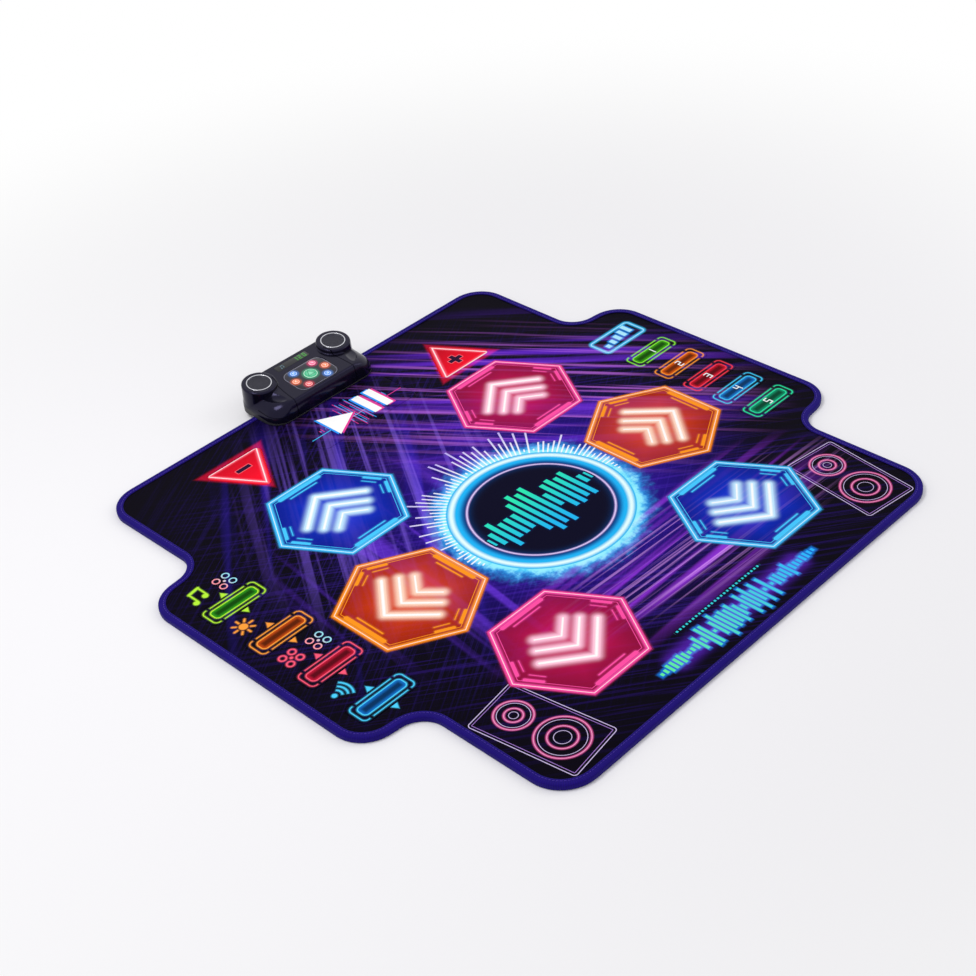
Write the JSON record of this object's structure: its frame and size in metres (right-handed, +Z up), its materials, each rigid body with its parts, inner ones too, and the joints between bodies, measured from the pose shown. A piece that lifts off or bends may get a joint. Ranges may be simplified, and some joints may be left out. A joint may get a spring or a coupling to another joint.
{
  "type": "electronic dance mat",
  "caption": "Soft laminated floor mat with hexagonal foot pads, side tabs with touch keys, and a sound console clamped on its rear edge.",
  "frame": {"origin": "middle of the mat's body on the underside of the backing sheet, where it rests on the floor", "axes": "+X to the player's right, +Y towards the console on the rear edge, +Z up"},
  "size_m": [0.96, 0.9396, 0.0554],
  "materials": {
    "top_print": "printed laminate, satin",
    "pad_blue": "printed laminate, satin",
    "pad_pink": "printed laminate, satin",
    "pad_orange": "printed laminate, satin",
    "key_green": "printed laminate, satin",
    "key_orange": "printed laminate, satin",
    "key_red": "printed laminate, satin",
    "key_blue": "printed laminate, satin",
    "key_teal": "printed laminate, satin",
    "key_white": "printed laminate, satin",
    "binding_tape": "woven tape, folded and sewn",
    "backing": "dotted non-slip cloth",
    "foam": "closed-cell foam",
    "film": "printed circuit film",
    "housing_gloss": "moulded, polished",
    "housing_matt": "moulded, fine texture",
    "smoked_panel": "moulded, smoked, polished",
    "board": "solder mask",
    "digits": "moulded",
    "grille": "pressed, bright rim",
    "speaker": "coated",
    "contact_steel": "plated",
    "switch_cap": "moulded",
    "cell_cover": "sleeved, satin",
    "light_green": "moulded, clear tint",
    "light_blue": "moulded, clear tint",
    "light_pink": "moulded, clear tint",
    "light_orange": "moulded, clear tint",
    "light_red": "moulded, clear tint"
  },
  "bodies": {
    "mat": {"backing_sheet": "backing", "cushion_foam": "foam", "lower_contact_film": "film", "spacer_sheet": "foam", "upper_contact_film": "film", "top_sheet": "top_print", "edge_binding": "binding_tape", "upper_housing": "housing_gloss", "lower_housing": "housing_matt", "light_panel": "smoked_panel", "display_window": "smoked_panel", "circuit_board": "board", "digit_display": "digits", "speaker_grille_left": "grille", "speaker_grille_right": "grille", "speaker_left": "speaker", "speaker_right": "speaker", "contact_bridge": "contact_steel", "terminal_board": "contact_steel", "clamp_plate": "housing_matt", "clamp_screw_left": "contact_steel", "clamp_screw_right": "contact_steel", "battery_cell_1": "cell_cover", "battery_cell_2": "cell_cover", "battery_cell_3": "cell_cover", "battery_cell_4": "cell_cover", "sponge_rear_left": "foam", "sponge_rear_right": "foam", "sponge_left": "foam", "sponge_right": "foam", "sponge_front_left": "foam", "sponge_front_right": "foam", "centre_light": "light_green", "light_rear_left": "light_blue", "light_rear_right": "light_pink", "light_left": "light_orange", "light_right": "light_orange", "light_front_left": "light_red", "light_front_right": "light_blue"},
    "pad_rear_left": {"pad_rear_left": "pad_blue"},
    "pad_rear_right": {"pad_rear_right": "pad_pink"},
    "pad_left": {"pad_left": "pad_orange"},
    "pad_right": {"pad_right": "pad_orange"},
    "pad_front_left": {"pad_front_left": "pad_pink"},
    "pad_front_right": {"pad_front_right": "pad_blue"},
    "key_minus": {"key_minus": "key_red"},
    "key_plus": {"key_plus": "key_red"},
    "key_start": {"key_start": "key_white"},
    "key_mode_1": {"key_mode_1": "key_green"},
    "key_mode_2": {"key_mode_2": "key_orange"},
    "key_mode_3": {"key_mode_3": "key_red"},
    "key_mode_4": {"key_mode_4": "key_blue"},
    "key_level_1": {"key_level_1": "key_green"},
    "key_level_2": {"key_level_2": "key_orange"},
    "key_level_3": {"key_level_3": "key_red"},
    "key_level_4": {"key_level_4": "key_blue"},
    "key_level_5": {"key_level_5": "key_teal"},
    "battery_door": {"battery_door": "housing_matt"},
    "power_switch": {"power_switch": "switch_cap"}
  },
  "joints": [
    {"name": "pad_rear_left_press", "type": "slide", "parent": "mat", "child": "pad_rear_left", "axis": [0, 0, 1], "range_m": [-0.0012, 0], "stiffness_N_per_m": 2500, "springref_m": 0.002, "deforming": ["sponge_rear_left"]},
    {"name": "pad_rear_right_press", "type": "slide", "parent": "mat", "child": "pad_rear_right", "axis": [0, 0, 1], "range_m": [-0.0012, 0], "stiffness_N_per_m": 2500, "springref_m": 0.002, "deforming": ["sponge_rear_right"]},
    {"name": "pad_left_press", "type": "slide", "parent": "mat", "child": "pad_left", "axis": [0, 0, 1], "range_m": [-0.0012, 0], "stiffness_N_per_m": 2500, "springref_m": 0.002, "deforming": ["sponge_left"]},
    {"name": "pad_right_press", "type": "slide", "parent": "mat", "child": "pad_right", "axis": [0, 0, 1], "range_m": [-0.0012, 0], "stiffness_N_per_m": 2500, "springref_m": 0.002, "deforming": ["sponge_right"]},
    {"name": "pad_front_left_press", "type": "slide", "parent": "mat", "child": "pad_front_left", "axis": [0, 0, 1], "range_m": [-0.0012, 0], "stiffness_N_per_m": 2500, "springref_m": 0.002, "deforming": ["sponge_front_left"]},
    {"name": "pad_front_right_press", "type": "slide", "parent": "mat", "child": "pad_front_right", "axis": [0, 0, 1], "range_m": [-0.0012, 0], "stiffness_N_per_m": 2500, "springref_m": 0.002, "deforming": ["sponge_front_right"]},
    {"name": "key_minus_press", "type": "slide", "parent": "mat", "child": "key_minus", "axis": [0, 0, 1], "range_m": [-0.0008, 0], "stiffness_N_per_m": 500, "springref_m": 0.002},
    {"name": "key_plus_press", "type": "slide", "parent": "mat", "child": "key_plus", "axis": [0, 0, 1], "range_m": [-0.0008, 0], "stiffness_N_per_m": 500, "springref_m": 0.002},
    {"name": "key_start_press", "type": "slide", "parent": "mat", "child": "key_start", "axis": [0, 0, 1], "range_m": [-0.0008, 0], "stiffness_N_per_m": 500, "springref_m": 0.002},
    {"name": "key_mode_1_press", "type": "slide", "parent": "mat", "child": "key_mode_1", "axis": [0, 0, 1], "range_m": [-0.0008, 0], "stiffness_N_per_m": 500, "springref_m": 0.002},
    {"name": "key_mode_2_press", "type": "slide", "parent": "mat", "child": "key_mode_2", "axis": [0, 0, 1], "range_m": [-0.0008, 0], "stiffness_N_per_m": 500, "springref_m": 0.002},
    {"name": "key_mode_3_press", "type": "slide", "parent": "mat", "child": "key_mode_3", "axis": [0, 0, 1], "range_m": [-0.0008, 0], "stiffness_N_per_m": 500, "springref_m": 0.002},
    {"name": "key_mode_4_press", "type": "slide", "parent": "mat", "child": "key_mode_4", "axis": [0, 0, 1], "range_m": [-0.0008, 0], "stiffness_N_per_m": 500, "springref_m": 0.002},
    {"name": "key_level_1_press", "type": "slide", "parent": "mat", "child": "key_level_1", "axis": [0, 0, 1], "range_m": [-0.0008, 0], "stiffness_N_per_m": 500, "springref_m": 0.002},
    {"name": "key_level_2_press", "type": "slide", "parent": "mat", "child": "key_level_2", "axis": [0, 0, 1], "range_m": [-0.0008, 0], "stiffness_N_per_m": 500, "springref_m": 0.002},
    {"name": "key_level_3_press", "type": "slide", "parent": "mat", "child": "key_level_3", "axis": [0, 0, 1], "range_m": [-0.0008, 0], "stiffness_N_per_m": 500, "springref_m": 0.002},
    {"name": "key_level_4_press", "type": "slide", "parent": "mat", "child": "key_level_4", "axis": [0, 0, 1], "range_m": [-0.0008, 0], "stiffness_N_per_m": 500, "springref_m": 0.002},
    {"name": "key_level_5_press", "type": "slide", "parent": "mat", "child": "key_level_5", "axis": [0, 0, 1], "range_m": [-0.0008, 0], "stiffness_N_per_m": 500, "springref_m": 0.002},
    {"name": "battery_door_slide", "type": "slide", "parent": "mat", "child": "battery_door", "axis": [0, 1, 0], "range_m": [0, 0.034]},
    {"name": "power_switch_slide", "type": "slide", "parent": "mat", "child": "power_switch", "axis": [1, 0, 0], "range_m": [0, 0.004]}
  ]
}
